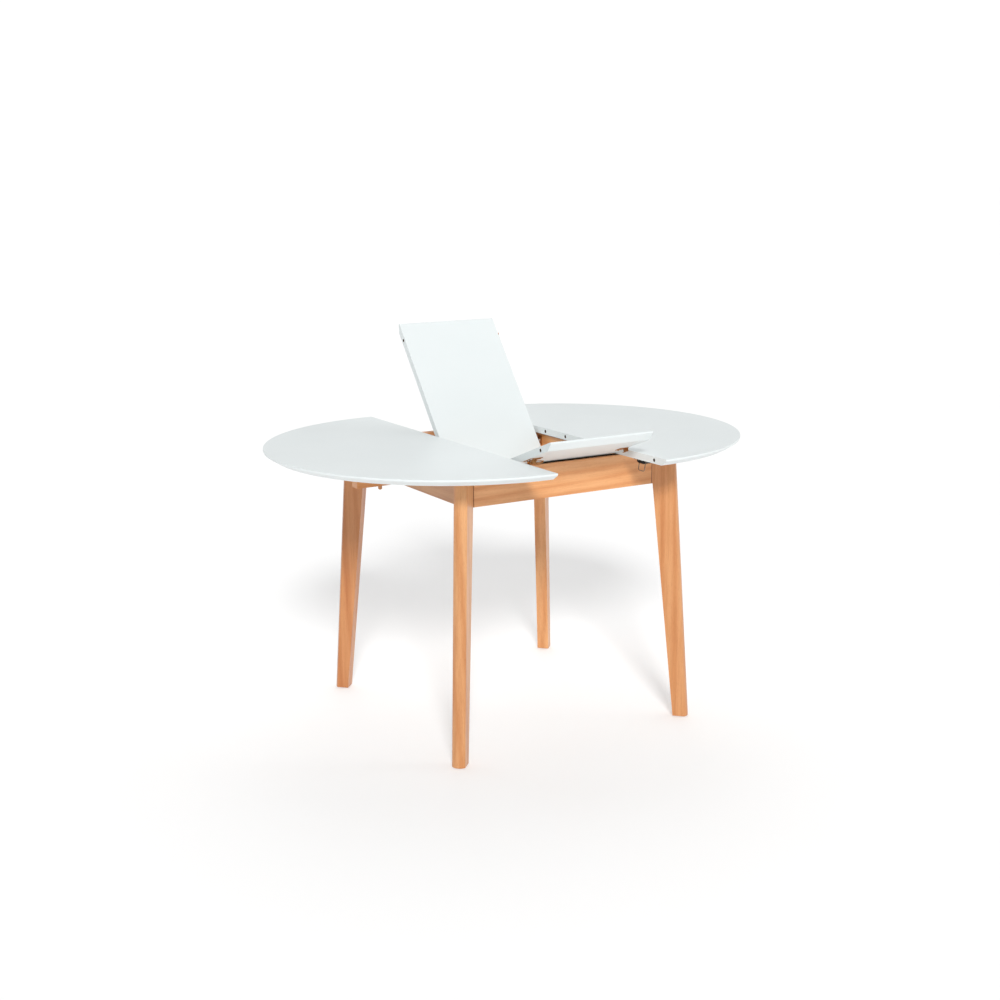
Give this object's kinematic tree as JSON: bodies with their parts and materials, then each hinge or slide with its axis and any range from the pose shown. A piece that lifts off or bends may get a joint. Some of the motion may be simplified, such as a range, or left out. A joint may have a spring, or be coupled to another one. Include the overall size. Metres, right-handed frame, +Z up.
{
  "type": "extendable dining table",
  "caption": "Round extendable dining table with sliding top halves, a folding butterfly leaf and splayed wooden legs.",
  "frame": {"origin": "on the floor under the middle of the table", "axes": "+X along the pull-out direction, +Y towards the side whose leaf panel stands up, +Z up"},
  "size_m": [1.3158, 1, 1.0331],
  "materials": {
    "white_lacquer": "white satin lacquer over medium-density fibreboard",
    "leg_wood": "clear satin lacquer over light hardwood",
    "inner_wood": "plain sanded light hardwood",
    "dowel_wood": "turned hardwood dowel",
    "zinc_steel": "bright zinc-plated steel",
    "bronze_steel": "antique bronze plated steel",
    "brass": "satin brass",
    "black_steel": "black coated steel",
    "wire": "bright steel wire",
    "felt": "black felt strip",
    "glide": "moulded plastic"
  },
  "bodies": {
    "frame": {"front_apron": "leg_wood", "back_apron": "leg_wood", "left_apron": "leg_wood", "right_apron": "leg_wood", "leg_front_left": "leg_wood", "leg_front_right": "leg_wood", "leg_back_left": "leg_wood", "leg_back_right": "leg_wood", "block_front_left": "inner_wood", "block_front_right": "inner_wood", "block_back_left": "inner_wood", "block_back_right": "inner_wood", "hanger_bolts": "zinc_steel", "bolt_washers": "zinc_steel", "bolt_nuts": "zinc_steel", "foot_glides": "glide", "front_felt": "felt", "left_bearer_rail": "inner_wood", "right_bearer_rail": "inner_wood", "bearer_angles": "zinc_steel", "bearer_screws": "zinc_steel", "bearing_plates": "bronze_steel", "bearing_screws": "zinc_steel"},
    "left_half": {"left_top_half": "white_lacquer", "left_half_dowels": "dowel_wood", "left_runner_front": "inner_wood", "left_runner_back": "inner_wood", "left_runner_screws": "zinc_steel", "left_stop_pegs": "dowel_wood", "left_half_keepers": "bronze_steel"},
    "right_half": {"right_top_half": "white_lacquer", "right_runner_front": "inner_wood", "right_runner_back": "inner_wood", "right_runner_screws": "zinc_steel", "right_stop_pegs": "dowel_wood", "half_latch_bases": "black_steel"},
    "far_leaf": {"far_leaf_panel": "white_lacquer", "far_leaf_dowels": "dowel_wood", "far_hinge_cups": "brass", "pivot_plates": "bronze_steel", "pivot_pins": "zinc_steel", "far_latch_base": "bronze_steel", "far_keeper": "bronze_steel"},
    "near_leaf": {"near_leaf_panel": "white_lacquer", "near_leaf_dowels": "dowel_wood", "near_hinge_cups": "brass", "near_latch_base": "bronze_steel", "near_keeper": "bronze_steel"},
    "links": {"hinge_links": "brass"},
    "front_lever": {"half_lever_front": "black_steel"},
    "front_bail": {"half_bail_front": "wire"},
    "back_lever": {"half_lever_back": "black_steel"},
    "back_bail": {"half_bail_back": "wire"},
    "near_latch_lever": {"near_lever": "bronze_steel"},
    "near_latch_bail": {"near_bail": "bronze_steel"},
    "far_latch_lever": {"far_lever": "bronze_steel"},
    "far_latch_bail": {"far_bail": "bronze_steel"}
  },
  "joints": [
    {"name": "left_half_slide", "type": "slide", "parent": "frame", "child": "left_half", "axis": [1, 0, 0], "range_m": [0, 0.0075]},
    {"name": "right_half_slide", "type": "slide", "parent": "frame", "child": "right_half", "axis": [-1, 0, 0], "range_m": [0, 0.0075]},
    {"name": "leaf_swing", "type": "hinge", "parent": "frame", "child": "far_leaf", "pos_m": [0, 0.12, 0.71], "axis": [1, 0, 0], "range_deg": [-52, 0]},
    {"name": "leaf_fold", "type": "hinge", "parent": "far_leaf", "child": "near_leaf", "pos_m": [0, 0.0146, 0.64006], "axis": [-1, 0, 0], "range_deg": [0, 106.4]},
    {"name": "hinge_link_turn", "type": "hinge", "parent": "far_leaf", "child": "links", "pos_m": [0, 0.0146, 0.64006], "axis": [-1, 0, 0], "range_deg": [0, 53.7]},
    {"name": "front_lever_turn", "type": "hinge", "parent": "right_half", "child": "front_lever", "pos_m": [0.17, -0.378, 0.7255], "axis": [0, 1, 0], "range_deg": [0, 80]},
    {"name": "front_bail_swing", "type": "hinge", "parent": "front_lever", "child": "front_bail", "pos_m": [0.177, -0.378, 0.7255], "axis": [0, 1, 0], "range_deg": [-70, 0]},
    {"name": "back_lever_turn", "type": "hinge", "parent": "right_half", "child": "back_lever", "pos_m": [0.17, 0.378, 0.7255], "axis": [0, 1, 0], "range_deg": [0, 80]},
    {"name": "back_bail_swing", "type": "hinge", "parent": "back_lever", "child": "back_bail", "pos_m": [0.177, 0.378, 0.7255], "axis": [0, 1, 0], "range_deg": [-60, 10]},
    {"name": "near_latch_lever_turn", "type": "hinge", "parent": "near_leaf", "child": "near_latch_lever", "pos_m": [-0.139, -0.34785, 0.75013], "axis": [0, 0.9361, -0.3519], "range_deg": [0, 60]},
    {"name": "near_latch_bail_swing", "type": "hinge", "parent": "near_latch_lever", "child": "near_latch_bail", "pos_m": [-0.132, -0.34785, 0.75013], "axis": [0, 0.9361, -0.3519], "range_deg": [0, 35]},
    {"name": "far_latch_lever_turn", "type": "hinge", "parent": "far_leaf", "child": "far_latch_lever", "pos_m": [-0.139, 0.26663, 0.92285], "axis": [0, 0.6157, 0.788], "range_deg": [0, 60]},
    {"name": "far_latch_bail_swing", "type": "hinge", "parent": "far_latch_lever", "child": "far_latch_bail", "pos_m": [-0.132, 0.26663, 0.92285], "axis": [0, 0.6157, 0.788], "range_deg": [0, 35]}
  ],
  "couplings": [
    {"joint": "hinge_link_turn", "follows": "leaf_fold", "ratio": 0.5}
  ]
}
